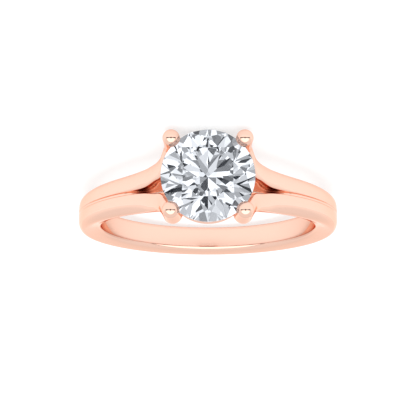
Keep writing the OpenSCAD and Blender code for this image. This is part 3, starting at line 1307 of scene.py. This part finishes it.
@dataclass(frozen=True)
class Studio:
    """A white tent with a round bright box at the camera, crossed by a dark bar and edged by a dark rim.

    Light that leaves the stone sees a field of pale and dark panels instead, so that its facets part.
    Angles are in degrees, and half angles are measured from the line to the camera.
    """

    horizon: float = 1.10
    tent: float = 0.98
    far_side: float = 0.93
    fall: float = 29.0
    box: float = 1.75
    box_half_angle: float = 62.0
    rim: float = 0.50
    rim_half_angle: float = 66.5
    dark: float = 0.02
    hood_half_angle: float = 11.0
    bar_half_angle: float = 2.5
    bar_spread: float = 0.12
    panel_scale: float = 9.0
    panel_turn: tuple[float, float, float] = (0.0, 0.0, 330.0)
    panel_curve: float = 1.10
    panel_low: Colour = (0.004, 0.006, 0.010, 1.0)
    panel_high: Colour = (1.34, 1.38, 1.44, 1.0)
    overhead: float = 1.2
    overhead_angle: float = 60.0

    def tent_level(self, graph: Graph, place: Socket, camera: bpy.types.Object) -> Socket:
        """Works out how bright the tent, the box and the dark things in it are.

        Args:
            graph: The world's graph.
            place: The direction that is looked in.
            camera: The camera that the box stands behind.

        Returns:
            The brightness in each direction.
        """
        right, up, away = (camera.matrix_world.col[i].xyz for i in range(3))
        toward, height, side = graph.along(place, away), graph.along(place, up), graph.along(place, right)
        level_away = Vector((away.x, away.y, 0)).normalized()
        facing = graph.calc("MULTIPLY_ADD", graph.along(place, level_away), 0.5, 0.5)
        rise = graph.fill(
            graph.node("MapRange", interpolation_type="SMOOTHSTEP"),
            Value=graph.along(place, Vector((0, 0, 1))),
            From_Max=sine(self.fall),
        )
        in_rim = graph.calc("GREATER_THAN", toward, cosine(self.rim_half_angle))
        in_box = graph.calc("GREATER_THAN", toward, cosine(self.box_half_angle))
        in_hood = graph.calc("GREATER_THAN", toward, cosine(self.hood_half_angle))
        squared = graph.calc("MULTIPLY", side, side)
        bar = graph.calc("MULTIPLY_ADD", squared, self.bar_spread, sine(self.bar_half_angle))
        under_bar = graph.calc("LESS_THAN", graph.calc("ADD", height, bar), 0.0)
        to_bar = graph.calc("LESS_THAN", height, bar)
        tent = graph.blend(facing, self.far_side, self.tent)
        level = graph.blend(rise.outputs["Result"], self.horizon, tent)
        level = graph.blend(graph.calc("MULTIPLY", in_rim, to_bar), level, self.rim)
        level = graph.blend(graph.calc("MULTIPLY", in_box, to_bar), level, self.dark)
        level = graph.blend(graph.calc("MULTIPLY", in_box, under_bar), level, self.box)
        return graph.blend(in_hood, level, self.dark)

    def panels(self, graph: Graph, place: Socket) -> Socket:
        """Works out the field of panels that the stone shows.

        Args:
            graph: The world's graph.
            place: The direction that is looked in.

        Returns:
            The colour in each direction.
        """
        turn = [math.radians(angle) for angle in self.panel_turn]
        turned = graph.fill(graph.node("Mapping"), Vector=place, Rotation=turn)
        cells = graph.fill(graph.node("TexVoronoi"), Vector=turned.outputs["Vector"], Scale=self.panel_scale)
        tone = graph.fill(graph.node("SeparateColor"), Color=cells.outputs["Color"])
        shade = graph.calc("POWER", tone.outputs[0], self.panel_curve)
        return graph.blend(shade, self.panel_low, self.panel_high, "RGBA")

    def hang_lamp(self) -> None:
        """Hangs the soft light over the floor, which the metal and the stone don't mirror."""
        lamp = bpy.data.lights.new("overhead", "SUN")
        lamp.energy = self.overhead
        lamp.angle = math.radians(self.overhead_angle)
        hung = bpy.data.objects.new("overhead", lamp)
        hung.visible_glossy = False
        hung.visible_transmission = False
        bpy.context.scene.collection.objects.link(hung)

    def build(self, camera: bpy.types.Object) -> None:
        """Builds the surroundings as a world shader, and the light.

        Args:
            camera: The camera that the box stands behind.
        """
        world = bpy.data.worlds.new("studio")
        world.use_nodes = True
        bpy.context.scene.world = world
        graph = Graph(world.node_tree)
        place = graph.node("TexCoord").outputs["Generated"]
        through = graph.node("LightPath").outputs["Is Transmission Ray"]
        graph.fill(
            world.node_tree.nodes["Background"],
            Strength=graph.blend(through, self.tent_level(graph, place, camera), 1.0),
            Color=graph.blend(through, WHITE, self.panels(graph, place), "RGBA"),
        )
        self.hang_lamp()


@dataclass(frozen=True)
class PhotoCamera:
    """The camera at the photograph's angle, turned over so that the ring stands as it does there."""

    distance: float = 84.0
    focal_pixels: float = 1049.2
    off_axis: float = 12.25
    middle_row: float = 218.0
    sensor: float = 36.0
    reach: float = 10.0

    def build(self, lying: Lying) -> bpy.types.Object:
        """Places the camera.

        Args:
            lying: How the ring lies.

        Returns:
            The camera.
        """
        away = lying.toward_stone * cosine(self.off_axis) + lying.along * sine(self.off_axis)
        up = lying.toward_stone * sine(self.off_axis) - lying.along * cosine(self.off_axis)
        right = up.cross(away)
        data = bpy.data.cameras.new("camera")
        data.sensor_width = self.sensor
        data.lens = self.sensor * self.focal_pixels / IMAGE_SIZE
        data.shift_y = (self.middle_row - IMAGE_SIZE / 2) / IMAGE_SIZE
        data.clip_start = MM
        data.clip_end = self.reach
        camera = bpy.data.objects.new("camera", data)
        bpy.context.scene.collection.objects.link(camera)
        turn = Matrix((right, up, away)).transposed().to_4x4()
        camera.matrix_world = Matrix.Translation(lying.middle + away * self.distance * MM) @ turn
        bpy.context.scene.camera = camera
        return camera


@dataclass(frozen=True)
class Picture:
    """How light becomes colour, and how often it bounces, most of all inside the stone."""

    bounces: int = 24
    glossy_bounces: int = 12

    def set_up(self) -> None:
        """Sets the scene's colours and bounces."""
        scene = bpy.context.scene
        scene.view_settings.view_transform = Look.TRANSFORM.value
        scene.view_settings.look = Look.CONTRAST.value
        scene.cycles.max_bounces = self.bounces
        scene.cycles.glossy_bounces = self.glossy_bounces
        scene.cycles.transmission_bounces = self.bounces
        scene.cycles.caustics_reflective = True


def main() -> None:
    """Builds the ring's pieces, its studio and its camera."""
    logging.basicConfig(level=logging.INFO, format="%(message)s")
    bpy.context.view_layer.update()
    lying = Lying.from_record(frame["record"])
    gold = RoseGold().material()
    clear = ClearStone().material()
    for maker, finish in ((Shank(), gold), (GalleryRail(), gold), (Brilliant(), clear)):
        piece = maker.make(lying, finish)
        LOG.info("%s: %d faces", piece.name, len(piece.data.polygons))
    PaleFloor().build()
    camera = PhotoCamera().build(lying)
    Studio().build(camera)
    Picture().set_up()
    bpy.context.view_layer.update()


if __name__ == "__main__":
    main()
